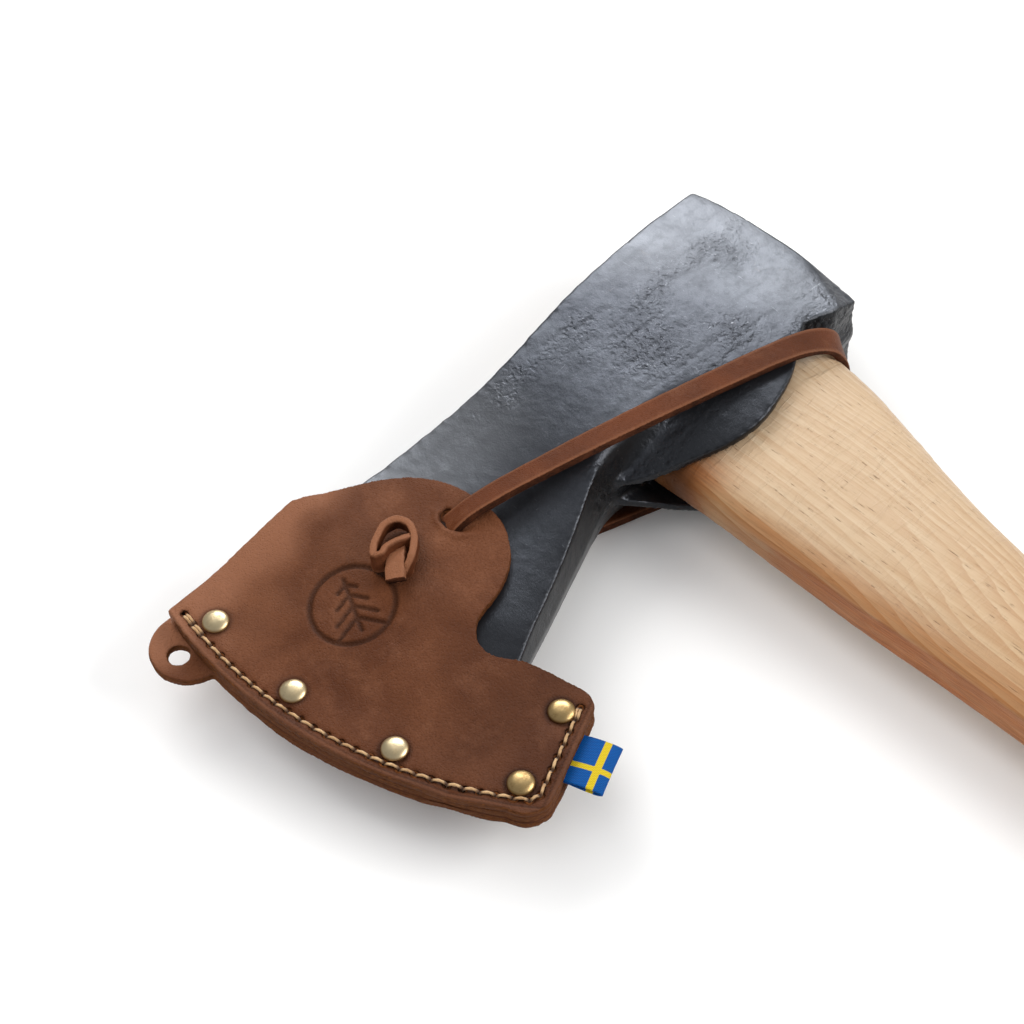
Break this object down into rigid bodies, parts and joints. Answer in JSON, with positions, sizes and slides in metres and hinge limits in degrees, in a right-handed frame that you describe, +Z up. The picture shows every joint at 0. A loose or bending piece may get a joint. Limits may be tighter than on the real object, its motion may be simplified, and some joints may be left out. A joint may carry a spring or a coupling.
{
  "type": "felling axe",
  "caption": "Long-handled felling axe lying on its side, its blade in a stitched and riveted leather edge sheath held on by a lace strap.",
  "frame": {"origin": "under the middle of the axe's bounding box, on the floor it lies on", "axes": "+X along the haft from the head to the knob, -Y towards the cutting edge, +Z up out of the upper cheek"},
  "size_m": [0.8116, 0.2154, 0.0431],
  "materials": {
    "forged_steel": "dark forged scale, hammer marks",
    "haft_wood": "oiled hickory",
    "wedge_wood": "plain end grain",
    "wedge_steel": "plain drawn steel",
    "sheath_leather": "waxed vegetable-tanned leather",
    "welt_leather": "raw cut edge",
    "waxed_thread": "waxed linen",
    "woven_ribbon": "woven ribbon, yellow stripes",
    "lace_leather": "oiled lace leather",
    "rivet_brass": "polished, slightly aged"
  },
  "bodies": {
    "axe": {"axe_head": "forged_steel", "haft": "haft_wood", "wood_wedge": "wedge_wood", "steel_ring_wedge": "wedge_steel"},
    "sheath": {"sheath_leather": "sheath_leather", "welt": "welt_leather", "seam_thread": "waxed_thread", "ribbon_tag": "woven_ribbon", "front_knot": "lace_leather", "rear_knot": "lace_leather", "rivet_cap_toe": "rivet_brass", "rivet_post_toe": "rivet_brass", "rivet_cap_edge_front": "rivet_brass", "rivet_post_edge_front": "rivet_brass", "rivet_cap_edge_rear": "rivet_brass", "rivet_post_edge_rear": "rivet_brass", "rivet_cap_heel_low": "rivet_brass", "rivet_post_heel_low": "rivet_brass", "rivet_cap_heel_high": "rivet_brass", "rivet_post_heel_high": "rivet_brass"},
    "strap": {"strap": "lace_leather"}
  },
  "joints": [
    {"name": "sheath_slide", "type": "slide", "parent": "axe", "child": "sheath", "axis": [0, -1, 0], "range_m": [0, 0.14]},
    {"name": "strap_swing", "type": "hinge", "parent": "sheath", "child": "strap", "pos_m": [-0.36675, -0.02665, 0.02153], "axis": [0, 0, 1], "range_deg": [0, 95], "deforming": ["strap"]}
  ],
  "couplings": [
    {"joint": "strap_swing", "follows": "sheath_slide", "rad_per_m": 11.842}
  ]
}
